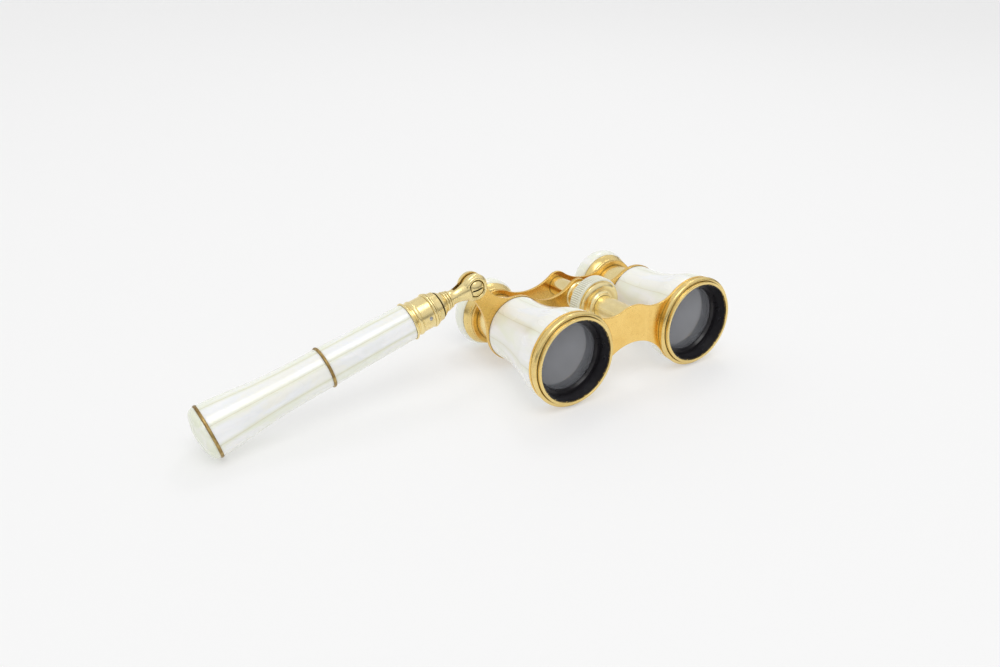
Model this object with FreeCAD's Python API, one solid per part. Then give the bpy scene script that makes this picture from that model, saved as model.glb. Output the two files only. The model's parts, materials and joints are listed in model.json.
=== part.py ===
import FreeCAD, Part
import math
import os

# Opera glasses with a folding, telescoping lorgnette handle: gilt brass, mother-of-pearl
# and black lacquer. Everything is drawn in the optical frame, in millimetres: X runs
# across the pair, Y runs from the front lips of the objectives to the eyes, and Z is up
# from the plane of the two optical axes. The last section lays the finished glasses down
# on a table, on their two objective rings, their two eyecups and the end of the handle.

# ---- driving dimensions ----
EYE_SPACING = 62.0          # between the two optical axes
COLUMN_Z = 7.0              # height of the focusing column over the optical axes
FIT = 0.05                  # gap of a fixed or sliding fit
PLAY = 0.10                 # gap of a loose running fit

# objective end, front lip at y = 0
LIP_BORE = 15.95
BEAD_RADIUS = 18.45
BEAD_Y = 2.15
NECK_RADIUS = 16.70         # threaded neck of the barrel, under the ring
FRONT_PLATE = (4.10, 5.10)  # front and back of the front bridge

# barrel, from the front bridge to the rear bridge
SHELL_START = 5.15
SHELL_END = 38.25
SHELL_THICK = 1.20
TUBE_WALL = 0.60
STAVES = 8
BARREL_CURVE = ((18.0, 5.15), (18.0, 8.0), (17.5, 11.0), (16.2, 15.0),
                (14.75, 20.0), (13.5, 26.0), (13.0, 32.0), (13.05, 38.25))
REAR_PLATE = (38.30, 39.90)
REAR_RADIUS = 13.40         # of the rear bridge's two rings

# eyepiece carriage
DRAW_RADIUS = 9.60
DRAW_WALL = 0.60
DRAW_FRONT = 33.5
EYE_PLATE = (52.50, 53.70)
EYECUP_START = 57.95
EYECUP_RADIUS = 14.0
EYECUP_FULL_Y = 61.2        # where the eyecup is widest
EYECUP_END = 64.0

# focusing column
COLUMN_RADIUS = 4.70
WHEEL_FRONT = 25.40
WHEEL_BACK = 30.70
WHEEL_RADIUS = 10.80
WHEEL_RIBS = 75
SCREW_RADIUS = 2.0
SLEEVE_RADIUS = 4.0
SLEEVE_FRONT = 35.5

# handle: the pivot pin is parallel to the optical axes
PIN_X = -50.67
PIN_Y = 39.10
PIN_Z = 21.77
HANDLE_DROP = 15.22         # slope of the handle below the horizontal at rest
KNUCKLE_RADIUS = 5.30
SLOT_FRONT = -0.85          # the fork's slot, measured from PIN_Y
SLOT_BACK = 1.15
SLOT_DEPTH = 8.2
KNUCKLE_FACE = -2.95        # seat of the pivot screw's head, measured from PIN_Y
PIVOT_RADIUS = 1.45
SCREW_HEAD_RADIUS = 3.0
SCREW_SLOT = 0.62           # width of the screwdriver slot
SCREW_SLOT_SLOPE = 12.7     # of that slot over the horizontal
CONE_END = 15.5             # distances along the handle, from the pin
FERRULE_START = 15.95
MID_RING = (62.63, 63.62)
END_RING = (105.88, 106.90)
HANDLE_STAVES = 8
HANDLE_SEAM = 37.0          # angle of the first seam round the grip
GRIP_SHELL = 1.3
UPPER_CURVE = ((6.8, 29.1), (7.0, 45.0), (7.3, 62.6))
LOWER_CURVE = ((7.3, 63.65), (7.4, 76.0), (8.0, 88.0), (9.0, 98.0), (9.6, 105.85))
INNER_TUBE = 3.60           # radius of the telescoping tube
INNER_TUBE_END = 72.0
GUIDE_PIN_AT = 22.2
GUIDE_PIN_RADIUS = 0.75

Y_AXIS = FreeCAD.Vector(0, 1, 0)
ORIGIN = FreeCAD.Vector(0, 0, 0)
SIDES = {"left": -EYE_SPACING / 2, "right": EYE_SPACING / 2}
parts = {}


# ---- drawing helpers ----
def outline(start, steps, at):
    """Closed wire through points of the plane that at() maps into space. A step that is a
    point is a straight line, ("arc", middle, end) is a circular arc, and
    ("curve", points) is a smooth curve."""
    edges = []
    here = start
    for step in steps:
        if step[0] == "arc":
            edges.append(Part.Arc(at(here), at(step[1]), at(step[2])).toShape())
            here = step[2]
        elif step[0] == "curve":
            spline = Part.BSplineCurve()
            spline.interpolate([at(point) for point in [here] + list(step[1])])
            edges.append(spline.toShape())
            here = step[1][-1]
        else:
            edges.append(Part.makeLine(at(here), at(step)))
            here = step
    if here != start:
        edges.append(Part.makeLine(at(here), at(start)))
    return Part.Wire(edges)


def turned(start, steps, x=0.0, z=0.0, sweep=360.0, first=0.0):
    """Solid turned round the line through (x, z) parallel to Y, from (radius, y) points."""
    section = outline(start, steps, lambda point: FreeCAD.Vector(point[0], point[1], 0))
    solid = Part.Face(section).revolve(ORIGIN, Y_AXIS, sweep)
    solid.rotate(ORIGIN, Y_AXIS, first)
    solid.translate(FreeCAD.Vector(x, 0, z))
    return solid


def rod(radius, y_front, y_back, x=0.0, z=0.0):
    return Part.makeCylinder(radius, y_back - y_front, FreeCAD.Vector(x, y_front, z), Y_AXIS)


def ring(outer, inner, y_front, y_back, x=0.0, z=0.0):
    return rod(outer, y_front, y_back, x, z).cut(rod(inner, y_front - 1, y_back + 1, x, z))


def shifted(points, amount):
    """The same run of (radius, y) points, with every radius changed by one amount."""
    return [(radius + amount, y) for radius, y in points]


def circles_meet(centre_a, radius_a, centre_b, radius_b, side):
    """One of the two points that lie radius_a from centre_a and radius_b from centre_b."""
    dx = centre_b[0] - centre_a[0]
    dz = centre_b[1] - centre_a[1]
    apart = math.hypot(dx, dz)
    along = (apart ** 2 + radius_a ** 2 - radius_b ** 2) / (2 * apart)
    across = side * math.sqrt(radius_a ** 2 - along ** 2)
    return (centre_a[0] + (along * dx - across * dz) / apart,
            centre_a[1] + (along * dz + across * dx) / apart)


def toward(centre, target, distance):
    """The point at one distance from a centre, in the direction of a target."""
    reach = math.hypot(target[0] - centre[0], target[1] - centre[1])
    return (centre[0] + (target[0] - centre[0]) * distance / reach,
            centre[1] + (target[1] - centre[1]) * distance / reach)


def on_dome(rim, apex_y):
    """The point half-way along the arc from a rim point to the apex on the axis of
    revolution, where the arc's centre is on that axis too."""
    rise = apex_y - rim[1]
    reach = (rim[0] ** 2 + rise ** 2) / (2 * rise)
    half = math.atan2(rim[0], reach - rise if rise > 0 else rise - reach) / 2
    return (abs(reach) * math.sin(half), apex_y - reach + reach * math.cos(half))


# ---- the three bridges ----
def plate(start, steps, y_front, y_back):
    """Flat plate from an outline of (x, z) points."""
    edge = outline(start, steps, lambda point: FreeCAD.Vector(point[0], y_front, point[1]))
    return Part.Face(edge).extrude(FreeCAD.Vector(0, y_back - y_front, 0))


def waist(ring_radius, hump_z, dip_x, dip_z, arch_z, y_front, y_back):
    """Web between the two rings of a bridge. Its top edge is a hump between two dips, and
    its bottom edge is one arch. Each arc is tangent to the next, and the outer ones are
    tangent to the rings."""
    half = EYE_SPACING / 2
    dip = ((half - dip_x) ** 2 + dip_z ** 2 - ring_radius ** 2) / (2 * (ring_radius - dip_z))
    drop = dip_z + dip - hump_z
    hump = (dip_x ** 2 + drop ** 2 - dip ** 2) / (2 * (dip - drop))
    arch = (half ** 2 + arch_z ** 2 - ring_radius ** 2) / (2 * (ring_radius + arch_z))
    dip_centre = (dip_x, dip_z + dip)
    hump_centre = (0.0, hump_z - hump)
    arch_centre = (0.0, arch_z - arch)
    ring_centre = (half, 0.0)
    hump_end = toward(hump_centre, dip_centre, hump)
    dip_end = toward(ring_centre, dip_centre, ring_radius)
    arch_end = toward(ring_centre, arch_centre, ring_radius)
    def mirrored(point):
        return (-point[0], point[1])
    return plate(hump_end, [("arc", (dip_x, dip_z), dip_end), ring_centre, arch_end,
                            ("arc", (0.0, arch_z), mirrored(arch_end)),
                            mirrored(ring_centre), mirrored(dip_end),
                            ("arc", (-dip_x, dip_z), mirrored(hump_end)),
                            ("arc", (0.0, hump_z), hump_end)], y_front, y_back)


def softened(shape, y_levels, radius, least_length=2.0):
    """Rounds the outer edges of a plate's faces at the given levels of y."""
    edges = []
    for edge in shape.Edges:
        box = edge.BoundBox
        flat = box.YMax - box.YMin < 1e-6 and min(abs(box.YMin - y) for y in y_levels) < 1e-6
        if flat and edge.Length > least_length:
            edges.append(edge)
    return shape.makeFillet(radius, edges)


def bridge(ring_radius, hump_z, dip_x, dip_z, arch_z, y_front, y_back, extra=()):
    """Bridge plate: its two rings, the web between them and any extra lobes."""
    rings = [rod(ring_radius, y_front, y_back, x) for x in SIDES.values()]
    web = waist(ring_radius, hump_z, dip_x, dip_z, arch_z, y_front, y_back)
    whole = web.multiFuse(rings + list(extra)).removeSplitter()
    return softened(whole, (y_front, y_back), 0.22)


def make_front_bridge():
    whole = bridge(18.15, 13.6, 11.0, 11.3, -1.8, *FRONT_PLATE)
    for x in SIDES.values():
        whole = whole.cut(rod(NECK_RADIUS + FIT, 0, 10, x))
    parts["front_bridge"] = whole


def make_rear_bridge():
    """The rear bridge also carries the ear and the tongue that the handle pivots on."""
    ring_centre = (SIDES["left"], 0.0)
    pin = (PIN_X, PIN_Z)
    top_corner = (-44.4, 19.9)      # where the ear's edges run in behind the knuckle
    low_corner = (-49.5, 14.9)
    top_arc = 14.2
    low_arc = 28.0
    top_centre = circles_meet(ring_centre, REAR_RADIUS + top_arc, top_corner, top_arc, -1)
    low_centre = circles_meet(ring_centre, REAR_RADIUS + low_arc, low_corner, low_arc, 1)
    top_end = toward(ring_centre, top_centre, REAR_RADIUS)
    low_end = toward(ring_centre, low_centre, REAR_RADIUS)
    top_middle = toward(top_centre, ((top_corner[0] + top_end[0]) / 2,
                                     (top_corner[1] + top_end[1]) / 2), top_arc)
    low_middle = toward(low_centre, ((low_corner[0] + low_end[0]) / 2,
                                     (low_corner[1] + low_end[1]) / 2), low_arc)
    ear = plate(pin, [top_corner, ("arc", top_middle, top_end), ring_centre, low_end,
                      ("arc", low_middle, low_corner)], *REAR_PLATE)
    tongue = rod(4.7, *REAR_PLATE, PIN_X, PIN_Z)
    whole = bridge(REAR_RADIUS, 14.1, 14.6, 8.5, 0.0, *REAR_PLATE, [ear, tongue])
    seat = SHELL_END + 1.0
    for x in SIDES.values():
        whole = whole.cut(rod(DRAW_RADIUS + PLAY, 30, 50, x))
        whole = whole.cut(rod(barrel_end_radius() + FIT, 30, seat, x))
    whole = whole.cut(rod(PIVOT_RADIUS + FIT, 30, 50, PIN_X, PIN_Z))
    parts["rear_bridge"] = whole.cut(rod(SLEEVE_RADIUS + PLAY, 30, 50, 0, COLUMN_Z))


def make_eyepiece_bridge():
    whole = bridge(11.5, 13.2, 16.0, 7.8, 0.0, *EYE_PLATE)
    for x in SIDES.values():
        whole = whole.cut(rod(DRAW_RADIUS + FIT, 40, 60, x))
    parts["eyepiece_bridge"] = whole.cut(rod(3.25, 40, 60, 0, COLUMN_Z))


# ---- barrels ----
def barrel_end_radius():
    return BARREL_CURVE[-1][0] - SHELL_THICK - FIT


def make_barrel(side, x):
    """Spun brass tube, faced with staves of mother-of-pearl between the two bridges."""
    outside = shifted(BARREL_CURVE, -SHELL_THICK - FIT)
    inside = shifted(BARREL_CURVE, -SHELL_THICK - FIT - TUBE_WALL)[::-1]
    seat = SHELL_END + 0.95
    rear = (outside[-1][0], seat)
    parts["barrel_tube_" + side] = turned(
        (NECK_RADIUS, 2.1),
        [(NECK_RADIUS, SHELL_START - 0.05), outside[0], ("curve", outside[1:]), rear,
         (rear[0] - TUBE_WALL, seat), inside[0], ("curve", inside[1:-1]),
         (LIP_BORE, inside[-2][1]), (LIP_BORE, 2.1)], x)
    gap = 0.12                      # degrees left open at each seam
    shell_inside = shifted(BARREL_CURVE, -SHELL_THICK)[::-1]
    staves = []
    for number in range(STAVES):
        staves.append(turned(BARREL_CURVE[0],
                             [("curve", BARREL_CURVE[1:]), shell_inside[0],
                              ("curve", shell_inside[1:])],
                             x, 0.0, 360.0 / STAVES - gap, number * 360.0 / STAVES + gap / 2))
    parts["barrel_staves_" + side] = Part.makeCompound(staves)


def make_objective(side, x):
    """Turned objective ring, lacquered cell, cemented doublet and its retaining ring."""
    parts["objective_ring_" + side] = turned(
        (LIP_BORE, 0.15),
        [(16.1, 0.0), (16.8, 0.0), ("arc", (16.98, 0.07), (17.05, 0.25)), (17.05, 0.9),
         (16.8, 1.15), (16.95, 1.35),
         ("arc", (BEAD_RADIUS, BEAD_Y), (17.85, 3.05)), (17.9, 4.05),
         (NECK_RADIUS + FIT, 4.05), (NECK_RADIUS + FIT, 2.05), (LIP_BORE, 2.05)], x)
    cell_radius = LIP_BORE - FIT
    lens_radius = 14.40
    cell_back = 12.2
    parts["objective_cell_" + side] = turned(
        (cell_radius, 0.5),
        [(cell_radius, 7.4), (lens_radius + 0.8, 7.8), (lens_radius + 0.8, cell_back),
         (13.2, cell_back), (13.2, 11.15), (lens_radius + FIT, 11.15),
         (lens_radius + FIT, 6.35), (14.95, 6.35), (14.95, 4.9),
         ("arc", (15.15, 2.6), (15.65, 0.5))], x)
    parts["objective_retainer_" + side] = turned(
        (14.9, 4.95), [(14.9, 6.3), (13.1, 6.3), (13.1, 6.0), (13.7, 4.95)], x)
    front_rim = (lens_radius, 6.7)
    front_apex = 5.0
    joint_rim = (lens_radius, 7.1)
    joint_apex = 9.5
    parts["objective_crown_" + side] = turned(
        (0, front_apex),
        [("arc", on_dome(front_rim, front_apex), front_rim), joint_rim,
         ("arc", on_dome(joint_rim, joint_apex), (0, joint_apex))], x)
    cemented_rim = (lens_radius, joint_rim[1] + 0.01)
    cemented_apex = joint_apex + 0.01
    back_rim = (lens_radius, 11.1)
    back_apex = 10.8
    parts["objective_flint_" + side] = turned(
        (0, cemented_apex),
        [("arc", on_dome(cemented_rim, cemented_apex), cemented_rim), back_rim,
         ("arc", on_dome(back_rim, back_apex), (0, back_apex))], x)


# ---- eyepieces, carried by the sliding bridge ----
def make_eyepiece(side, x):
    inner = DRAW_RADIUS - DRAW_WALL
    tube_end = 57.6
    parts["draw_tube_" + side] = ring(DRAW_RADIUS, inner, DRAW_FRONT, tube_end, x)
    bell_bore = DRAW_RADIUS + FIT
    parts["eyepiece_bell_" + side] = turned(
        (bell_bore, EYE_PLATE[1] + 0.02),
        [(11.4, EYE_PLATE[1] + 0.02), ("arc", (11.95, 54.3), (11.7, 54.95)),
         ("curve", [(12.0, 55.35), (12.55, 56.3), (13.0, 57.25)]), (12.75, 57.9),
         (10.25, 57.9), (10.25, tube_end - FIT), (bell_bore, tube_end - FIT)], x)
    cell_outer = inner - FIT
    lens_radius = 9.15
    cell_end = 62.3
    parts["eye_cell_" + side] = turned(
        (cell_outer, 54.0),
        [(cell_outer, tube_end), (10.15, tube_end), (10.15, cell_end),
         (lens_radius + FIT, cell_end), (lens_radius + FIT, 58.4), (8.4, 58.4),
         (8.4, 54.0)], x)
    parts["eyecup_" + side] = turned(
        (10.2, EYECUP_START),
        [(12.9, EYECUP_START), (13.45, 58.5),
         ("arc", (EYECUP_RADIUS, EYECUP_FULL_Y), (13.2, 63.5)),
         ("arc", (12.7, 63.95), (12.0, EYECUP_END)),
         ("arc", (10.9, 63.6), (10.2, 62.7))], x)
    front_rim = (lens_radius, 58.45)
    front_apex = 59.25
    back_rim = (lens_radius, 61.0)
    back_apex = 60.2
    parts["eye_lens_" + side] = turned(
        (0, front_apex),
        [("arc", on_dome(front_rim, front_apex), front_rim), back_rim,
         ("arc", on_dome(back_rim, back_apex), (0, back_apex))], x)
    parts["eye_retainer_" + side] = turned(
        (lens_radius, 61.05), [(lens_radius, 62.1), (8.4, 62.1), (7.9, 61.05)], x)


# ---- focusing column ----
def make_column():
    """Fixed parts: the hollow column behind the front bridge, and the boss that the nut
    sleeve slides through."""
    journal_bore = SCREW_RADIUS + 0.06
    parts["column_tube"] = turned(
        (journal_bore, FRONT_PLATE[1] + 0.02),
        [(COLUMN_RADIUS + 0.5, FRONT_PLATE[1] + 0.02), (COLUMN_RADIUS + 0.5, 5.7),
         ("arc", (COLUMN_RADIUS + 0.15, 6.0), (COLUMN_RADIUS, 6.5)),
         (COLUMN_RADIUS, 22.4), (journal_bore, 22.4)], 0, COLUMN_Z)
    sleeve_bore = SLEEVE_RADIUS + PLAY
    boss_front = 31.75
    boss_back = REAR_PLATE[0] - 0.02
    parts["column_boss"] = turned(
        (sleeve_bore, boss_front),
        [(5.2, boss_front), (5.4, boss_front + 0.3), (5.4, boss_back - 1.2),
         ("arc", (5.5, boss_back - 0.5), (5.9, boss_back)), (sleeve_bore, boss_back)],
        0, COLUMN_Z)


def make_focus_wheel():
    """The hub clamps the ribbed rim between its flared front flange and a nut behind."""
    screw_web = 24.1
    hub_bore = SLEEVE_RADIUS + 0.3
    hub_radius = 5.2
    parts["focus_hub"] = turned(
        (SCREW_RADIUS + 0.02, 22.5),
        [(4.95, 22.5), ("arc", (5.16, 22.58), (5.25, 22.8)),
         ("arc", (5.7, 23.7), (6.7, 23.95)), ("arc", (8.3, 24.2), (9.35, 24.95)),
         (9.35, 25.1), (9.9, 25.1), (9.9, WHEEL_FRONT - 0.02),
         (hub_radius, WHEEL_FRONT - 0.02),
         (hub_radius, 31.6), (hub_bore, 31.6), (hub_bore, screw_web),
         (SCREW_RADIUS + 0.02, screw_web)], 0, COLUMN_Z)
    parts["focus_rim_nut"] = turned(
        (hub_radius + 0.03, WHEEL_BACK + 0.02),
        [(7.4, WHEEL_BACK + 0.02), (7.4, 31.2), (7.0, 31.5), (hub_radius + 0.03, 31.5)],
        0, COLUMN_Z)
    parts["focus_screw"] = turned(
        (0, 8.0),
        [(SCREW_RADIUS - 0.4, 8.0), (SCREW_RADIUS, 8.4), (SCREW_RADIUS, 43.2),
         (SCREW_RADIUS - 0.4, 43.6), (0, 43.6)], 0, COLUMN_Z)
    rib_root = WHEEL_RADIUS - 0.30
    arcs = []
    for number in range(WHEEL_RIBS):
        edge = []
        for part_way, radius in ((0.0, rib_root), (0.5, WHEEL_RADIUS), (1.0, rib_root)):
            angle = 2 * math.pi * ((number + part_way) % WHEEL_RIBS) / WHEEL_RIBS
            edge.append(FreeCAD.Vector(radius * math.cos(angle), WHEEL_FRONT,
                                       COLUMN_Z + radius * math.sin(angle)))
        arcs.append(Part.Arc(*edge).toShape())
    ribbed = Part.Face(Part.Wire(arcs)).extrude(
        FreeCAD.Vector(0, WHEEL_BACK - WHEEL_FRONT, 0))
    smooth = turned(
        (hub_radius + FIT, WHEEL_FRONT),
        [(9.8, WHEEL_FRONT), ("arc", (10.45, WHEEL_FRONT + 0.35), (10.85, WHEEL_FRONT + 1.1)),
         (10.85, WHEEL_BACK - 0.5), (10.4, WHEEL_BACK), (hub_radius + FIT, WHEEL_BACK)],
        0, COLUMN_Z)
    parts["focus_wheel_rim"] = ribbed.common(smooth)


def make_nut_sleeve():
    """Sliding nut: the screw draws it along, and it carries the eyepiece bridge."""
    thread = SCREW_RADIUS + 0.06
    shoulder = EYE_PLATE[0] - 0.02
    parts["nut_sleeve"] = turned(
        (thread, SLEEVE_FRONT),
        [(SLEEVE_RADIUS, SLEEVE_FRONT), (SLEEVE_RADIUS, shoulder), (3.2, shoulder),
         (3.2, 55.0), (2.6, 55.0), (2.6, 41.5), (thread, 41.5)], 0, COLUMN_Z)
    cap_rim = (4.6, 55.4)
    cap_apex = 56.7
    cap = turned(
        (0, 55.25),
        [(3.25, 55.25), (3.25, EYE_PLATE[1] + 0.02), (4.6, EYE_PLATE[1] + 0.02), cap_rim,
         ("arc", on_dome(cap_rim, cap_apex), (0, cap_apex))], 0, COLUMN_Z)
    slot = Part.makeBox(12, 2, 0.8, FreeCAD.Vector(-6, 56.0, COLUMN_Z - 0.4))
    parts["sleeve_cap"] = cap.cut(slot)


# ---- handle, drawn along -X from the pin, then swung to its resting slope ----
def handle_turned(start, steps, sweep=360.0, first=0.0):
    """Solid turned round the handle: the outline is (radius, distance from the pin)."""
    solid = turned(start, steps, 0, 0, sweep, first)
    solid.rotate(ORIGIN, FreeCAD.Vector(0, 0, 1), 90)
    return solid


def handle_ring(outer, inner, near, far):
    return handle_turned((inner, near), [(outer, near), (outer, far), (inner, far)])


def hang(name, shape):
    """Swings a handle piece to the resting slope and moves it to the pin."""
    shape.rotate(ORIGIN, Y_AXIS, -HANDLE_DROP)
    shape.translate(FreeCAD.Vector(PIN_X, PIN_Y, PIN_Z))
    parts[name] = shape


def make_fork():
    """Knuckle with two cheeks, and the ridged cone that the tube is fixed in."""
    knuckle = turned(
        (0, KNUCKLE_FACE),
        [(3.2, KNUCKLE_FACE), (3.3, -3.3), ("arc", (4.0, -3.62), (4.6, -3.15)),
         (4.65, -2.85), ("arc", (5.12, -2.4), (KNUCKLE_RADIUS, -1.7)), (KNUCKLE_RADIUS, 2.3),
         ("arc", (5.0, 3.0), (4.2, 3.3)), (0, 3.3)])
    neck = handle_turned(
        (0, 0),
        [(4.3, 3.0), ("curve", [(3.35, 5.6), (2.8, 8.2), (3.0, 10.4)]),
         ("arc", (3.45, 10.85), (3.1, 11.3)), ("arc", (3.65, 11.8), (3.35, 12.3)),
         ("arc", (3.95, 12.8), (3.7, 13.3)), ("curve", [(4.1, 13.9), (4.75, 14.8)]),
         (5.1, CONE_END), (0, CONE_END)])
    slot = Part.makeBox(SLOT_DEPTH + 10, SLOT_BACK - SLOT_FRONT, 16,
                        FreeCAD.Vector(-SLOT_DEPTH, SLOT_FRONT, -8))
    fork = knuckle.fuse(neck).cut(slot)
    fork = fork.cut(rod(PIVOT_RADIUS + FIT, -6, 6))
    fork = fork.cut(rod(SCREW_HEAD_RADIUS + PLAY, -6, KNUCKLE_FACE))
    fork = fork.cut(handle_turned((0, 11.4), [(2.65, 11.4), (2.65, 20), (0, 20)]))
    hang("handle_fork", fork)


def make_pivot():
    head_front = -4.65
    head_rim = (2.9, -3.45)
    head_back = KNUCKLE_FACE - 0.02
    screw = turned(
        (0, head_front),
        [("arc", on_dome(head_rim, head_front), head_rim), (SCREW_HEAD_RADIUS, -3.3),
         (SCREW_HEAD_RADIUS, head_back), (PIVOT_RADIUS, head_back), (PIVOT_RADIUS, 3.2),
         (0, 3.2)])
    slot = Part.makeBox(8, 1.0, SCREW_SLOT, FreeCAD.Vector(-4, head_front - 0.1, -SCREW_SLOT / 2))
    slot.rotate(ORIGIN, Y_AXIS, HANDLE_DROP - SCREW_SLOT_SLOPE)
    hang("pivot_screw", screw.cut(slot))
    hang("pivot_washer", ring(4.5, PIVOT_RADIUS + FIT, 0.83, SLOT_BACK - 0.02))


def make_inner_tube():
    """Telescoping tube, fixed in the cone, with a slot that the guide pin runs in."""
    bore = INNER_TUBE - 0.6
    tube = handle_turned(
        (0, 11.5),
        [(2.6, 11.5), (2.6, CONE_END + 0.02), (INNER_TUBE, CONE_END + 0.02),
         (INNER_TUBE, INNER_TUBE_END), (bore, INNER_TUBE_END), (bore, 17.5), (0, 17.5)])
    slot_width = 2 * (GUIDE_PIN_RADIUS + FIT)
    slot = Part.makeBox(47.6, slot_width, 6, FreeCAD.Vector(-69.0, -slot_width / 2, 0))
    slot.rotate(ORIGIN, FreeCAD.Vector(1, 0, 0), 90)
    hang("handle_tube", tube.cut(slot))
    hang("tube_stop", handle_ring(4.35, INNER_TUBE + FIT, 70.2, INNER_TUBE_END))


def make_ferrule():
    """Moulded ferrule on the grip, the bush that slides on the tube, and the guide pin."""
    core = UPPER_CURVE[0][0] - GRIP_SHELL - FIT
    pin_hole = rod(GUIDE_PIN_RADIUS, -10, 0)
    pin_hole.translate(FreeCAD.Vector(-GUIDE_PIN_AT, 0, 0))
    ferrule = handle_turned(
        (INNER_TUBE + PLAY, FERRULE_START),
        [(5.2, FERRULE_START), (5.6, FERRULE_START + 0.3), (5.85, 18.3), (6.05, 18.6),
         ("arc", (6.4, 18.95), (6.2, 19.3)), ("arc", (6.72, 19.8), (6.2, 20.4)),
         (6.25, 20.6), (6.25, 25.2), ("arc", (6.65, 26.1), (6.2, 27.0)), (6.2, 27.4),
         (6.6, 27.9), (6.6, 28.3), (core, 28.3), (core, 25.0), (5.02, 25.0),
         (5.02, 16.45), (INNER_TUBE + PLAY, 16.45)])
    hang("ferrule", ferrule.cut(pin_hole))
    hang("guide_bush", handle_ring(5.0, INNER_TUBE + FIT, 16.48, 24.8).cut(pin_hole))
    hang("ferrule_ring", handle_turned(
        (core, 28.33), [(7.05, 28.33), ("arc", (7.3, 28.68), (7.05, 29.05)), (core, 29.05)]))
    pin_rim = (GUIDE_PIN_RADIUS, -6.15)
    pin_apex = -6.38
    pin = turned((0, pin_apex), [("arc", on_dome(pin_rim, pin_apex), pin_rim),
                                 (GUIDE_PIN_RADIUS, -3.1), (0, -3.1)])
    pin.translate(FreeCAD.Vector(-GUIDE_PIN_AT, 0, 0))
    hang("guide_pin", pin)


def make_staves(name, curve):
    """One band of the grip: thin staves of shell side by side round the core."""
    gap = 0.25                      # degrees left open at each seam
    inside = shifted(curve, -GRIP_SHELL)[::-1]
    staves = []
    for number in range(HANDLE_STAVES):
        staves.append(handle_turned(
            curve[0], [("curve", curve[1:]), inside[0], ("curve", inside[1:])],
            360.0 / HANDLE_STAVES - gap, HANDLE_SEAM + number * 360.0 / HANDLE_STAVES + gap / 2))
    hang(name, Part.makeCompound(staves))


def make_grip():
    """Brass core tube under two bands of staves, closed by a plug and a domed cap."""
    bore = 4.6
    end_bore = 7.1
    outside = shifted(UPPER_CURVE + LOWER_CURVE[1:], -GRIP_SHELL - FIT)
    hang("grip_core", handle_turned(
        (bore, 25.03),
        [(outside[0][0] - 0.02, 25.03), outside[0], ("curve", outside[1:]),
         (end_bore, LOWER_CURVE[-1][1]), (bore, 74.0)]))
    make_staves("upper_staves", UPPER_CURVE)
    make_staves("lower_staves", LOWER_CURVE)
    under = UPPER_CURVE[-1][0] - GRIP_SHELL + 0.02
    hang("mid_ring", handle_turned(
        (under, MID_RING[0]),
        [(7.6, MID_RING[0]), ("arc", (7.78, sum(MID_RING) / 2), (7.6, MID_RING[1])),
         (under, MID_RING[1])]))
    hang("end_ring", handle_turned(
        (end_bore, END_RING[0]),
        [(9.65, END_RING[0]), ("arc", (9.78, sum(END_RING) / 2), (9.65, END_RING[1])),
         (end_bore, END_RING[1])]))
    stud = 2.0
    hang("end_plug", handle_turned(
        (0, 103.4),
        [(end_bore - 0.27, 103.4), (end_bore - FIT, END_RING[1]), (stud, END_RING[1]),
         (stud, 108.7), (0, 108.7)]))
    cap_start = END_RING[1] + 0.02
    shoulder = (8.1, 109.3)
    apex = 110.85
    hang("end_cap", handle_turned(
        (stud + FIT, cap_start),
        [(9.4, cap_start), ("arc", (9.15, 108.2), shoulder),
         ("arc", on_dome(shoulder, apex), (0, apex)), (0, 108.8), (stud + FIT, 108.8)]))


# ---- the whole object ----
def tilt():
    """Slope of the optical axes when objective rings and eyecups rest on one table."""
    return math.degrees(math.atan2(BEAD_RADIUS - EYECUP_RADIUS, EYECUP_FULL_Y - BEAD_Y))


def lay_down():
    """Tilts the finished glasses to lie on a table, with the origin in the middle of the
    underside of their bounding box, and returns the shift that does the second part."""
    for shape in parts.values():
        shape.rotate(ORIGIN, FreeCAD.Vector(1, 0, 0), -tilt())
    box = Part.makeCompound(list(parts.values())).optimalBoundingBox(False, False)
    shift = FreeCAD.Vector(-box.Center.x, -box.Center.y, -box.ZMin)
    for shape in parts.values():
        shape.translate(shift)
    return shift


def build():
    make_front_bridge()
    make_rear_bridge()
    make_eyepiece_bridge()
    for side, x in SIDES.items():
        make_barrel(side, x)
        make_objective(side, x)
        make_eyepiece(side, x)
    make_column()
    make_focus_wheel()
    make_nut_sleeve()
    make_fork()
    make_pivot()
    make_inner_tube()
    make_ferrule()
    make_grip()
    return lay_down()


shift = build()
os.makedirs("parts", exist_ok=True)
for name, shape in parts.items():
    shape.exportStep("parts/" + name + ".step")
print(len(parts), "parts, moved by", [round(value, 4) for value in shift],
      "after a tilt of", round(tilt(), 4), "degrees")
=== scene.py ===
import json
import math

import bpy
from mathutils import Matrix, Vector


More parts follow.
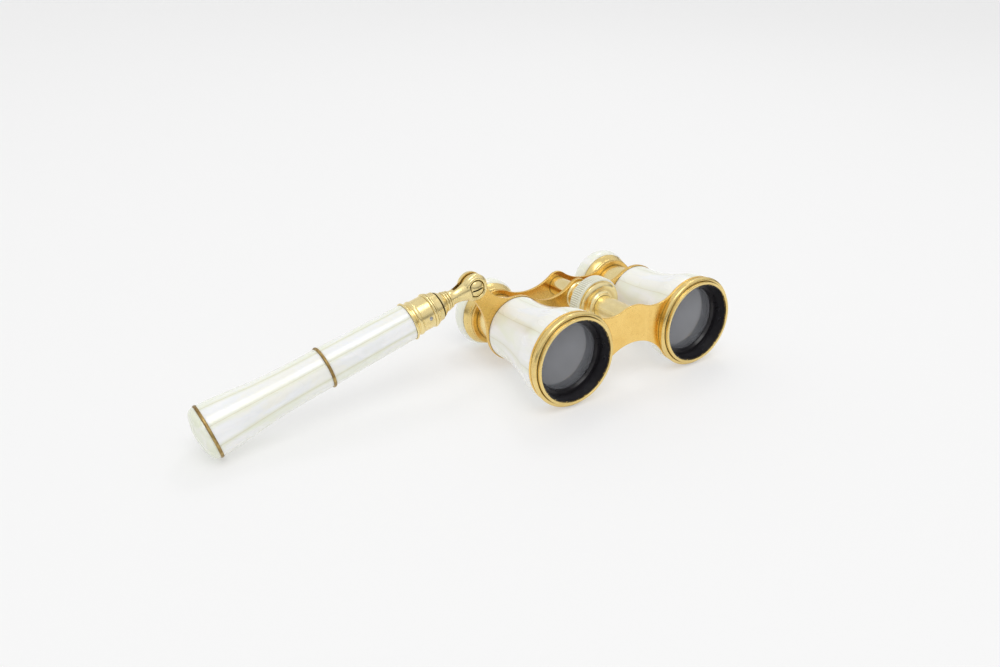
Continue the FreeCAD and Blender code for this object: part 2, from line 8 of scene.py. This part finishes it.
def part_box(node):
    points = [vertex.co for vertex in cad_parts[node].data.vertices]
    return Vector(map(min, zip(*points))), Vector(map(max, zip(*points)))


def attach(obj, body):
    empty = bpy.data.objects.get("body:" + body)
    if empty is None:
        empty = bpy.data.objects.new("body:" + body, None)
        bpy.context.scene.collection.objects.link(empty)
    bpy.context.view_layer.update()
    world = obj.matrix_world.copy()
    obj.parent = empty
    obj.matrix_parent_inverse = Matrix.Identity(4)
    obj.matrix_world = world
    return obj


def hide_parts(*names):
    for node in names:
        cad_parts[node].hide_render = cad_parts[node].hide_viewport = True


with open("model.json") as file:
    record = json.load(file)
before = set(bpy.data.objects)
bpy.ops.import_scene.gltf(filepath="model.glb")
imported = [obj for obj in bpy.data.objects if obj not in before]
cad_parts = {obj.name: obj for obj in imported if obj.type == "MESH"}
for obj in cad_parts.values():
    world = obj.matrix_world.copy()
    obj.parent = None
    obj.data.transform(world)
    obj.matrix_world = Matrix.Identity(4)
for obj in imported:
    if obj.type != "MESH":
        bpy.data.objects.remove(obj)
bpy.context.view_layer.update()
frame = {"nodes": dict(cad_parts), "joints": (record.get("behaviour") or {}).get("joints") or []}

# Opera glasses with a lorgnette handle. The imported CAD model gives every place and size:
# this script gives the bands of shell their separate staves, and each surface its material.
MM = 0.001


# ---- the drawing frames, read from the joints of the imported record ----
joints = {joint["name"]: joint for joint in frame["joints"]}
ACROSS = Vector((1, 0, 0))
OPTICAL_AXIS = Vector(joints["eyepiece_slide"]["axis"]).normalized()
UPWARD = ACROSS.cross(OPTICAL_AXIS)
ALONG_HANDLE = Vector(joints["handle_extend"]["axis"]).normalized()
PIVOT = Vector(joints["handle_swing"]["pos_m"])
WHEEL_FACE = Vector(joints["focus_turn"]["pos_m"])
COLUMN_HEIGHT = 7.0 * MM        # of the column over the optical axes
WHEEL_FACE_Y = 25.4 * MM        # of the wheel's front face behind the objective lips


def frame_of(origin, y_axis, z_axis):
    """Drawing frame whose Y runs along a turned piece."""
    columns = Matrix((y_axis.cross(z_axis), y_axis, z_axis)).transposed()
    return Matrix.Translation(origin) @ columns.to_4x4()


def middle_x(node):
    low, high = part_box(node)
    return (low[0] + high[0]) / 2


MIDDLE = WHEEL_FACE - OPTICAL_AXIS * WHEEL_FACE_Y - UPWARD * COLUMN_HEIGHT
OPTICAL = frame_of(MIDDLE, OPTICAL_AXIS, UPWARD)
COLUMN = frame_of(MIDDLE + UPWARD * COLUMN_HEIGHT, OPTICAL_AXIS, UPWARD)
PIN = frame_of(PIVOT, OPTICAL_AXIS, UPWARD)
HANDLE = frame_of(PIVOT, ALONG_HANDLE, OPTICAL_AXIS.cross(ALONG_HANDLE).normalized())
BARRELS = {side: frame_of(MIDDLE + ACROSS * (middle_x("objective_ring_" + side) - MIDDLE.x),
                          OPTICAL_AXIS, UPWARD) for side in ("left", "right")}


# ---- camera, light and floor ----
CAMERA_ANGLES = (-34.82, 27.37, 1.89)       # azimuth, elevation and roll, in degrees
CAMERA_AIM = Vector((-51.74, 19.15, 9.82)) * MM     # in the optical drawing frame
CAMERA_DISTANCE = 300.6 * MM
CAMERA_LENS = 29.88             # focal length in millimetres, on a 36 mm wide sensor


def make_camera():
    azimuth, elevation, roll = (math.radians(angle) for angle in CAMERA_ANGLES)
    aim = OPTICAL @ CAMERA_AIM
    back = Vector((math.sin(azimuth) * math.cos(elevation),
                   -math.cos(azimuth) * math.cos(elevation), math.sin(elevation)))
    level = Vector((math.cos(azimuth), math.sin(azimuth), 0))
    upright = back.cross(level)
    right = level * math.cos(roll) + upright * math.sin(roll)
    top = upright * math.cos(roll) - level * math.sin(roll)
    data = bpy.data.cameras.new("camera")
    data.lens = CAMERA_LENS
    data.clip_start = 0.01
    camera = bpy.data.objects.new("camera", data)
    camera.matrix_world = (Matrix.Translation(aim + back * CAMERA_DISTANCE)
                           @ Matrix((right, top, back)).transposed().to_4x4())
    bpy.context.scene.collection.objects.link(camera)
    bpy.context.scene.camera = camera


LIT = Vector((0, 0, 0.02))      # the lights are aimed here


def soft_light(name, place, size, power):
    """Round area light aimed at the glasses."""
    data = bpy.data.lights.new(name, "AREA")
    data.shape = "DISK"
    data.size = size
    data.energy = power
    light = bpy.data.objects.new(name, data)
    light.location = place
    light.rotation_mode = "QUATERNION"
    light.rotation_quaternion = (Vector(place) - LIT).to_track_quat("Z", "Y")
    bpy.context.scene.collection.objects.link(light)


def fill_ramp(ramp, stops):
    """Puts (position, colour or grey) stops into a colour ramp."""
    while len(ramp.elements) < len(stops):
        ramp.elements.new(0.5)
    for element, (position, colour) in zip(ramp.elements, stops):
        element.position = position
        grey = isinstance(colour, (int, float))
        element.color = (colour, colour, colour, 1) if grey else (*colour, 1)


# brightness of the room by the height looked at, from the horizon to straight up
ROOM = ((0.0, 0.22), (0.12, 0.30), (0.3, 0.85), (0.6, 1.0), (1.0, 0.9))
ROOM_STRENGTH = 0.84


def make_light():
    """A white room, brightest overhead and dimmest round the horizon, with a large soft light
    above the glasses and a small one behind them."""
    world = bpy.data.worlds.new("room")
    world.use_nodes = True
    nodes, links = world.node_tree.nodes, world.node_tree.links
    where = nodes.new("ShaderNodeTexCoord").outputs["Generated"]
    parts = nodes.new("ShaderNodeSeparateXYZ")
    links.new(where, parts.inputs[0])
    ramp = nodes.new("ShaderNodeValToRGB")
    fill_ramp(ramp.color_ramp, ROOM)
    links.new(parts.outputs["Z"], ramp.inputs["Fac"])
    background = nodes["Background"]
    links.new(ramp.outputs["Color"], background.inputs["Color"])
    background.inputs["Strength"].default_value = ROOM_STRENGTH
    bpy.context.scene.world = world
    bpy.context.scene.view_settings.view_transform = "Standard"
    soft_light("key", (-0.15, -0.4, 1.15), size=0.75, power=3.4)
    soft_light("glint", (0.55, 0.5, 1.0), size=0.28, power=1.0)


def make_floor():
    """White sweep, faintly lit from below: a table that ends in front of the camera and curves
    up to a wall behind."""
    front, back, bend, top, half = -1.2, 1.3, 0.5, 1.6, 3.0
    profile = [(front, 0.0), (back, 0.0)]
    steps = 12
    profile += [(back + bend * math.sin(angle), bend * (1 - math.cos(angle)))
                for angle in (math.pi / 2 * step / steps for step in range(1, steps + 1))]
    profile.append((back + bend, top))
    points = [(x, y, z) for y, z in profile for x in (-half, half)]
    faces = [(2 * row, 2 * row + 1, 2 * row + 3, 2 * row + 2) for row in range(len(profile) - 1)]
    mesh = bpy.data.meshes.new("floor")
    mesh.from_pydata(points, [], faces)
    mesh.shade_smooth()
    floor = bpy.data.objects.new("floor", mesh)
    bpy.context.scene.collection.objects.link(floor)
    shader = Shader("white_sweep")
    shader.set("Base Color", (0.50, 0.50, 0.50, 1))
    shader.set("Emission Color", (1.0, 1.0, 1.0, 1))
    shader.set("Emission Strength", 0.42)
    shader.set("Roughness", 0.7)
    shader.set("Specular IOR Level", 0.2)
    mesh.materials.append(shader.material)


# ---- materials ----
class Shader:
    """One Principled material, with short ways to add nodes in front of it."""

    def __init__(self, name):
        self.material = bpy.data.materials.new(name)
        self.material.use_nodes = True
        self.nodes = self.material.node_tree.nodes
        self.links = self.material.node_tree.links
        self.surface = self.nodes["Principled BSDF"]

    def set(self, socket, value):
        """Sets or links one socket of the surface shader."""
        self.feed(self.surface.inputs[socket], value)

    def feed(self, socket, value):
        if isinstance(value, bpy.types.NodeSocket):
            self.links.new(value, socket)
        else:
            socket.default_value = value

    def add(self, kind, inputs, output=0, **settings):
        node = self.nodes.new("ShaderNode" + kind)
        for key, value in settings.items():
            setattr(node, key, value)
        for socket, value in inputs.items():
            self.feed(node.inputs[socket], value)
        return node.outputs[output]

    def place(self, drawing_frame, stretch=(1, 1, 1)):
        """Coordinates in millimetres of a drawing frame, stretched along its axes."""
        here = self.add("TexCoord", {}, "Object")
        shifted = self.add("VectorMath", {0: here, 1: drawing_frame.translation},
                           operation="SUBTRACT")
        turned = self.add("VectorRotate", {"Vector": shifted,
                                           "Rotation": drawing_frame.inverted().to_euler()},
                          rotation_type="EULER_XYZ")
        scale = [factor / MM for factor in stretch]
        return self.add("VectorMath", {0: turned, 1: scale}, operation="MULTIPLY")

    def facing_axis(self, drawing_frame, where):
        """1 where a turned surface faces its own axis, 0 where it faces outwards."""
        outward = self.add("VectorMath", {0: where, 1: (1, 0, 1)}, operation="MULTIPLY")
        normal = self.add("VectorRotate", {"Vector": self.add("TexCoord", {}, "Normal"),
                                           "Rotation": drawing_frame.inverted().to_euler()},
                          rotation_type="EULER_XYZ")
        turned = self.add("VectorMath", {0: normal, 1: outward}, "Value", operation="DOT_PRODUCT")
        return self.math("LESS_THAN", turned, -0.5)

    def noise(self, where, scale, detail=4.0, roughness=0.5, distortion=0.0):
        return self.add("TexNoise", {"Vector": where, "Scale": scale, "Detail": detail,
                                     "Roughness": roughness, "Distortion": distortion})

    def ramp(self, factor, *stops):
        """Colour ramp from (position, colour or grey) stops."""
        node = self.nodes.new("ShaderNodeValToRGB")
        fill_ramp(node.color_ramp, stops)
        self.feed(node.inputs["Fac"], factor)
        return node.outputs["Color"]

    def mix(self, factor, one, other):
        node = self.nodes.new("ShaderNodeMix")
        node.data_type = "RGBA"
        # the mixing node has sockets for each kind of value: these are the colour ones
        self.feed(node.inputs[0], factor)
        for socket, value in ((node.inputs[6], one), (node.inputs[7], other)):
            self.feed(socket, (*value, 1) if isinstance(value, tuple) else value)
        return node.outputs[2]

    def attribute(self, name, output="Fac"):
        return self.add("Attribute", {}, output, attribute_name=name)

    def math(self, operation, *values):
        return self.add("Math", dict(enumerate(values)), operation=operation)

    def bump(self, height, distance, strength=1.0):
        return self.add("Bump", {"Height": height, "Distance": distance, "Strength": strength})

    def groove_shade_mask(self, reach, low, high):
        """1 in corners and grooves, where shade falls, 0 on open surfaces: the mask for painted
        shade.
        """
        shut = self.add("AmbientOcclusion", {"Distance": reach}, "AO", samples=12)
        return self.ramp(shut, (low, 1.0), (high, 0.0))


def tinted(colour, factors):
    return tuple(channel * factor for channel, factor in zip(colour, factors))


WORN = (0.90, 0.86, 0.78)       # share of the tone that cloudy wear leaves
PIT = (0.22, 0.14, 0.04)
BLACKING = (0.006, 0.006, 0.007)


def brass(name, drawing_frame, tone, rough=(0.20, 0.32), turned=True, shade_strength=0.85, specks=0.4,
          black_inside=False, shade_reach=0.7, shade_colour=(0.13, 0.085, 0.025)):
    """Gilt or polished brass: fine turning lines, cloudy wear, painted shade in the grooves, pits.
    rough is the range of its roughness. shade_strength and specks are the strength of the
    painted shade and of the pits, shade_colour the painted shade's colour, and shade_reach, in
    millimetres, how wide a groove takes it. A tube can be blackened on its inside wall."""
    shader = Shader(name)
    where = shader.place(drawing_frame)
    cloud = shader.ramp(shader.noise(where, 0.11, 4.0, 0.6), (0.35, 0.0), (0.7, 1.0))
    base = shader.mix(cloud, tone, tinted(tone, WORN))
    pits = shader.ramp(shader.noise(where, 0.9, 5.0, 0.7), (0.69, 0.0), (0.74, 1.0))
    base = shader.mix(shader.math("MULTIPLY", pits, specks), base, PIT)
    # painted shade: the base colour darkens to the shade colour in grooves and corners
    groove_shade = shader.groove_shade_mask(shade_reach * MM, 0.40, 0.74)
    base = shader.mix(shader.math("MULTIPLY", groove_shade, shade_strength), base, shade_colour)
    dull = shader.ramp(shader.noise(where, 0.45, 5.0), (0.3, rough[0]), (0.75, rough[1]))
    dull = shader.math("ADD", dull, shader.math("MULTIPLY", groove_shade, 0.25))
    shader.set("Metallic", 1.0)
    if black_inside:
        inside = shader.facing_axis(drawing_frame, where)
        base = shader.mix(inside, base, BLACKING)
        dull = shader.mix(inside, dull, (0.8, 0.8, 0.8))
        shader.set("Metallic", shader.math("SUBTRACT", 1.0, inside))
    shader.set("Base Color", base)
    shader.set("Roughness", dull)
    height = shader.noise(where, 1.5, 3.0)
    if turned:
        lines = shader.place(drawing_frame, (0.03, 5.0, 0.03))
        height = shader.math("ADD", height, shader.noise(lines, 1.0, 4.0))
    shader.set("Normal", shader.bump(height, 0.0025 * MM))
    return shader.material


GILT = (0.97, 0.67, 0.22)
LEMON_BRASS = (0.89, 0.69, 0.29)
PALE_BRASS = (0.95, 0.79, 0.40)
WHITE_BRASS = (0.99, 0.84, 0.46)
# the bridges' gilt painted darker, as shade, for the bridges that lie behind the front one
SHADED_GILT = (0.86, 0.57, 0.17)


def aged_brass(name, drawing_frame):
    """Brown and golden patches on brass that is no longer polished."""
    shader = Shader(name)
    where = shader.place(drawing_frame)
    patch = shader.noise(where, 0.5, 6.0, 0.6)
    shader.set("Base Color", shader.ramp(patch, (0.3, (0.24, 0.15, 0.05)),
                                         (0.55, (0.42, 0.29, 0.11)), (0.75, (0.62, 0.46, 0.18))))
    shader.set("Metallic", 1.0)
    shader.set("Roughness", shader.ramp(patch, (0.3, 0.5), (0.75, 0.28)))
    shader.set("Normal", shader.bump(shader.noise(where, 3.0, 5.0), 0.02 * MM))
    return shader.material


JOINT_BEIGE = (0.66, 0.54, 0.32)
# colour of the painted shade in the grooves of shell
GROOVE_SHADE = (0.50, 0.42, 0.24)


def nacre(name, drawing_frame, cream=(0.97, 0.973, 0.93), seams=0.8, shade_strength=0.0):
    """Mother-of-pearl under polish: milky layers with faint green, white, grey and sand clouds
    round the cream. Each stave has its own tone (attribute "tone", 0 greenish to 1 sand) and
    its own cloud (attribute "apart"), and turns olive and then beige towards its joints
    (attribute "edge"), by the share given as seams. A piece without these attributes has 0 in
    all of them. shade_strength is the strength of the painted shade in its grooves."""
    shader = Shader(name)
    where = shader.place(drawing_frame, (1.0, 0.32, 1.0))
    where = shader.add("VectorMath", {0: where, 1: shader.attribute("apart", "Vector")},
                       operation="ADD")
    layers = shader.noise(where, 0.17, 3.0, 0.45, 0.8)
    tone = shader.math("ADD", shader.attribute("tone"), shader.math(
        "MULTIPLY", shader.math("SUBTRACT", layers, 0.5), 1.7))
    white = tuple(min(1.0, channel) for channel in tinted(cream, (1.04, 1.04, 1.08)))
    base = shader.ramp(tone,
                       (0.0, tinted(cream, (0.94, 0.965, 0.875))),      # greenish
                       (0.3, cream),
                       (0.55, white),
                       (0.75, tinted(cream, (0.945, 0.96, 1.01))),      # grey
                       (1.0, tinted(cream, (0.975, 0.965, 0.935))))     # sand
    edge = shader.attribute("edge")
    olive = tinted(cream, (0.87, 0.88, 0.71))
    base = shader.mix(shader.ramp(edge, (0.60, 0.0), (0.98, seams)), base, olive)
    base = shader.mix(shader.ramp(edge, (0.975, 0.0), (1.0, seams)), base, JOINT_BEIGE)
    # painted shade: the cream darkens in grooves, where shade falls
    if shade_strength:
        groove_shade = shader.math("MULTIPLY", shader.groove_shade_mask(0.5 * MM, 0.45, 0.85), shade_strength)
        base = shader.mix(groove_shade, base, GROOVE_SHADE)
    shader.set("Base Color", base)
    satin = shader.noise(where, 0.14, 2.0, 0.4, 0.5)
    shader.set("Roughness", shader.ramp(satin, (0.35, 0.15), (0.65, 0.32)))
    shader.set("IOR", 1.56)
    shader.set("Subsurface Weight", 0.25)
    shader.set("Subsurface Radius", (1.0, 0.95, 0.8))
    shader.set("Subsurface Scale", 1.0 * MM)
    shader.set("Coat Weight", 0.5)
    shader.set("Coat Roughness", 0.06)
    shader.set("Normal", shader.bump(shader.noise(where, 0.30, 2.0), 0.12 * MM, 0.5))
    return shader.material


def lacquer(name, drawing_frame, worn_from=None):
    """Black lacquer. Given a plane worn_from, in millimetres along the frame's Y, it is whole
    behind that plane and chipped to brass in front of it."""
    shader = Shader(name)
    where = shader.place(drawing_frame)
    black = shader.ramp(shader.noise(where, 0.8, 4.0), (0.3, (0.008, 0.007, 0.009)),
                        (0.8, (0.014, 0.013, 0.016)))
    dull = shader.ramp(shader.noise(where, 0.3, 3.0), (0.3, 0.26), (0.75, 0.36))
    if worn_from is not None:
        depth = shader.add("SeparateXYZ", {0: where}, "Y")
        edge = shader.math("SUBTRACT", worn_from, depth)
        ragged = shader.math("ADD", edge, shader.math(
            "MULTIPLY", shader.math("SUBTRACT", shader.noise(where, 1.6, 4.0), 0.62), 2.6))
        chip = shader.ramp(ragged, (0.0, 0.0), (0.06, 1.0))
        black = shader.mix(chip, black, LEMON_BRASS)
        shader.set("Metallic", chip)
    shader.set("Base Color", black)
    shader.set("Roughness", dull)
    return shader.material


def optical_glass(name, drawing_frame, tint, clear):
    """Old glass under an even haze, with a little dust. tint is the colour of haze and glass,
    clear the share of light that goes through."""
    shader = Shader(name)
    where = shader.place(drawing_frame)
    haze = shader.noise(where, 0.15, 2.0)
    dust = shader.ramp(shader.noise(where, 2.6, 2.0), (0.74, 0.0), (0.78, 0.25))
    thicker = tuple(channel * 1.06 for channel in tint)
    shader.set("Base Color", shader.ramp(haze, (0.3, tint), (0.7, thicker)))
    film = shader.ramp(haze, (0.3, clear), (0.7, clear - 0.03))
    shader.set("Transmission Weight", shader.math("SUBTRACT", film, dust))
    shader.set("Roughness", 0.0)
    shader.set("IOR", 1.58)
    return shader.material


def steel(name, drawing_frame):
    """Plain steel, a little uneven in grey and polish."""
    shader = Shader(name)
    where = shader.place(drawing_frame)
    shader.set("Base Color", shader.ramp(shader.noise(where, 2.0, 4.0),
                                         (0.3, (0.35, 0.35, 0.36)), (0.7, (0.6, 0.6, 0.6))))
    shader.set("Metallic", 1.0)
    shader.set("Roughness", shader.ramp(shader.noise(where, 3.0, 4.0), (0.3, 0.2), (0.7, 0.35)))
    return shader.material


# ---- bands of shell ----
def outer_profile(node, drawing_frame, same=0.02 * MM, outwards=0.6):
    """(radius, distance along the axis) of a turned node's outer surface, end to end: one pair
    for each ring of vertices, and only where the surface faces outwards."""
    into_frame = drawing_frame.inverted()
    pairs = {}
    for vertex in frame["nodes"][node].data.vertices:
        point = into_frame @ vertex.co
        outward = into_frame.to_3x3() @ vertex.normal
        radius = math.hypot(point.x, point.z)
        if (outward.x * point.x + outward.z * point.z) / radius > outwards:
            pairs[round(point.y / same)] = (radius, point.y)
    return [pairs[key] for key in sorted(pairs)]


def radius_at(profile, y):
    """Radius of an outer profile at a distance along the axis."""
    for (radius, near), (next_radius, far) in zip(profile, profile[1:]):
        if near <= y <= far:
            return radius + (next_radius - radius) * (y - near) / max(far - near, 1e-9)
    return profile[0][0] if y < profile[0][1] else profile[-1][0]


STAVES = 8                      # in each band, on the barrels and on the handle
STAVE_EASE = 0.04 * MM          # how far the staves' ends are rounded off
STAVE_ROW = 0.7 * MM            # between the rings of points along a stave
STAVE_SHARP = math.radians(50)
CLOUD_STEP = (31.7, 17.3, 7.9)  # from one stave's cloud to the next one's, in millimetres


def stave_rows(start, end):
    """(distance along the axis, drop below the outer profile) of a stave's rings of points."""
    ease = STAVE_EASE
    steps = round((end - start - 2 * ease) / STAVE_ROW)
    return [(start, ease), (start + ease * 0.3, ease * 0.3), (start + ease, 0.0),
            *((start + ease + (end - start - 2 * ease) * step / steps, 0.0)
              for step in range(1, steps)),
            (end - ease, 0.0), (end - ease * 0.3, ease * 0.3), (end, ease)]


def stave_band(node, drawing_frame, body, material, first_angle, thickness, swell, tones):
    """The staves of one band as a piece of their own, each cut from a different shell and
    rounded a little more than the band, by swell. first_angle is measured from the frame's X
    towards its -Z. The staves' tones go round as a wave with tones = (waves, phase)."""
    profile = outer_profile(node, drawing_frame)
    rows = stave_rows(profile[0][1], profile[-1][1])
    # across a stave, from joint (-1) to joint (1): out on the outer face, back on the inner
    turns = [step / 8 for step in range(-7, 8)]
    turns = [-1.0, -0.985, -0.95, -0.91] + turns + [0.91, 0.95, 0.985, 1.0]
    under = [step / 4 for step in range(4, -5, -1)]
    half = math.pi / STAVES
    waves, phase = tones
    points, faces, apart, tone, edge = [], [], [], [], []
    for stave in range(STAVES):
        middle = -math.radians(first_angle + (stave + 0.5) * 360.0 / STAVES)
        shade = 0.5 + 0.5 * math.cos(2 * math.pi * (waves * stave / STAVES + phase))
        cloud = tuple(stave * step for step in CLOUD_STEP)
        base = len(points)
        for y, drop in rows:
            radius = radius_at(profile, y) - drop
            ring = [(turn, radius - swell * turn ** 4) for turn in turns]
            ring += [(turn, radius - thickness) for turn in under]
            for turn, out in ring:
                angle = middle + turn * half
                points.append(drawing_frame @ Vector((math.cos(angle) * out, y,
                                                      math.sin(angle) * out)))
                apart.append(cloud)
                tone.append(shade)
                edge.append(abs(turn))
        width = len(turns) + len(under)
        for row in range(len(rows) - 1):
            for step in range(width):
                here = base + row * width + step
                beside = base + row * width + (step + 1) % width
                faces.append((here, here + width, beside + width, beside))
        faces.append(tuple(base + step for step in range(width)))
        last = base + (len(rows) - 1) * width
        faces.append(tuple(last + step for step in reversed(range(width))))
    mesh = bpy.data.meshes.new(node)
    mesh.from_pydata(points, [], faces)
    mesh.attributes.new("apart", "FLOAT_VECTOR", "POINT").data.foreach_set(
        "vector", [value for triple in apart for value in triple])
    mesh.attributes.new("tone", "FLOAT", "POINT").data.foreach_set("value", tone)
    mesh.attributes.new("edge", "FLOAT", "POINT").data.foreach_set("value", edge)
    mesh.shade_smooth()
    mesh.set_sharp_from_angle(angle=STAVE_SHARP)
    mesh.materials.append(material)
    piece = bpy.data.objects.new(node + "_staves", mesh)
    bpy.context.scene.collection.objects.link(piece)
    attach(piece, body)
    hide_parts(node)


# ---- cemented objectives ----
def furthest(node, drawing_frame, direction, outside):
    """Distance along the axis of a lens surface, at its middle and at its rim, on the side
    that faces in the given direction (-1 or 1). outside is the lens's radius."""
    into_frame = drawing_frame.inverted()
    points = [into_frame @ vertex.co for vertex in frame["nodes"][node].data.vertices]
    middle = max(point.y * direction for point in points
                 if math.hypot(point.x, point.z) < outside * 0.2) * direction
    rim = max(point.y * direction for point in points
              if math.hypot(point.x, point.z) > outside * 0.999) * direction
    return middle, rim


LENS_RINGS, LENS_TURNS = 24, 96     # points from the middle to the rim, and round the lens
LENS_SHARP = math.radians(40)


def cemented_lens(side, drawing_frame, glass, paint):
    """Crown and flint as the one piece of glass that they are once cemented, with its edge
    painted black."""
    crown, flint = "objective_crown_" + side, "objective_flint_" + side
    low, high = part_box(crown)
    outside = (high[0] - low[0]) / 2
    into_frame = drawing_frame.inverted()
    front, front_rim = furthest(crown, drawing_frame, -1, outside)
    back, back_rim = furthest(flint, drawing_frame, 1, outside)
    steps, around = LENS_RINGS, LENS_TURNS
    rows = [(outside * step / steps, front + (front_rim - front) * (step / steps) ** 2)
            for step in range(1, steps + 1)]
    rows += [(outside * step / steps, back + (back_rim - back) * (step / steps) ** 2)
             for step in range(steps, 0, -1)]
    points = [Vector((0, front, 0)), Vector((0, back, 0))]
    for radius, y in rows:
        points += [Vector((radius * math.cos(turn), y, radius * math.sin(turn)))
                   for turn in (2 * math.pi * step / around for step in range(around))]
    faces = []
    for step in range(around):
        beside = (step + 1) % around
        faces.append((0, 2 + step, 2 + beside))
        for row in range(len(rows) - 1):
            near, far = 2 + row * around, 2 + (row + 1) * around
            faces.append((near + step, far + step, far + beside, near + beside))
        last = 2 + (len(rows) - 1) * around
        faces.append((1, last + beside, last + step))
    mesh = bpy.data.meshes.new("objective_glass_" + side)
    mesh.from_pydata([drawing_frame @ point for point in points], [], faces)
    mesh.shade_smooth()
    mesh.set_sharp_from_angle(angle=LENS_SHARP)
    mesh.materials.append(glass)
    mesh.materials.append(paint)
    for face in mesh.polygons:
        face.material_index = int(all(math.isclose((into_frame @ mesh.vertices[index].co).xz.length,
                                                   outside, rel_tol=1e-3)
                                      for index in face.vertices))
    piece = bpy.data.objects.new("objective_glass_" + side, mesh)
    bpy.context.scene.collection.objects.link(piece)
    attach(piece, "frame")
    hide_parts(crown, flint)


# ---- dressing the object ----
def dress(material, nodes):
    """Gives a material to carried-over CAD nodes."""
    for node in nodes:
        mesh = frame["nodes"][node].data
        mesh.materials.clear()
        mesh.materials.append(material)


def dress_metal():
    dress(brass("gilt_plate", OPTICAL, GILT, turned=False), ["front_bridge"])
    # rear and eyepiece bridges: gilt painted darker as shade, wide painted shade in their corners,
    # and pits
    dress(brass("spotted_shaded_plate", OPTICAL, SHADED_GILT, turned=False, specks=0.9, shade_strength=0.9,
                shade_reach=1.6, shade_colour=(0.08, 0.065, 0.025)),
          ["rear_bridge", "eyepiece_bridge"])
    for side, place in BARRELS.items():
        dress(brass("ring_brass_" + side, place, LEMON_BRASS),
              ["objective_ring_" + side, "eyepiece_bell_" + side])
        dress(brass("draw_brass_" + side, place, PALE_BRASS, specks=0.7, black_inside=True),
              ["draw_tube_" + side, "barrel_tube_" + side])
        dress(lacquer("lacquer_" + side, place, worn_from=0.6),
              ["objective_cell_" + side])
        dress(lacquer("inner_lacquer_" + side, place),
              ["objective_retainer_" + side, "eye_cell_" + side, "eye_retainer_" + side])
    dress(brass("column_brass", COLUMN, WHITE_BRASS, rough=(0.17, 0.27)),
          ["column_tube", "column_boss", "focus_hub", "focus_rim_nut", "nut_sleeve",
           "sleeve_cap"])
    dress(brass("handle_brass", HANDLE, PALE_BRASS),
          ["ferrule", "ferrule_ring", "handle_tube", "tube_stop", "guide_bush", "grip_core",
           "end_plug"])
    dress(brass("fork_brass", HANDLE, PALE_BRASS, turned=False), ["handle_fork"])
    # near-black painted shade in the pivot screw's slot and round the washer
    dress(brass("pin_brass", PIN, PALE_BRASS, shade_strength=1.0, shade_reach=1.6,
                shade_colour=(0.01, 0.009, 0.008)),
          ["pivot_screw", "pivot_washer"])
    dress(aged_brass("aged_brass", HANDLE), ["mid_ring", "end_ring"])
    dress(steel("steel", HANDLE), ["guide_pin", "focus_screw"])


def dress_shell():
    for side, place in BARRELS.items():
        dress(nacre("eyecup_shell_" + side, place), ["eyecup_" + side])
        stave_band("barrel_staves_" + side, place, "frame",
                   nacre("barrel_shell_" + side, place, seams=0.55), first_angle=0.0,
                   thickness=1.15 * MM, swell=0.02 * MM, tones=(3, 0.2))
    # painted shade in the grooves between the wheel rim's ribs
    dress(nacre("wheel_shell", COLUMN, (0.86, 0.84, 0.77), shade_strength=0.7), ["focus_wheel_rim"])
    dress(nacre("cap_shell", HANDLE, (0.90, 0.91, 0.82)), ["end_cap"])
    grip_shell = nacre("grip_shell", HANDLE)
    for node in ("upper_staves", "lower_staves"):
        stave_band(node, HANDLE, "handle_grip", grip_shell, first_angle=37.0,
                   thickness=1.25 * MM, swell=0.07 * MM, tones=(2, 0.125))


def dress_glass():
    for side, place in BARRELS.items():
        cemented_lens(side, place,
                      optical_glass("objective_glass_" + side, place,
                                    tint=(0.78, 0.80, 0.86), clear=0.84),
                      lacquer("lens_edge_" + side, place))
        dress(optical_glass("eye_glass_" + side, place, tint=(0.80, 0.82, 0.87), clear=0.97),
              ["eye_lens_" + side])


make_camera()
make_light()
make_floor()
dress_metal()
dress_shell()
dress_glass()
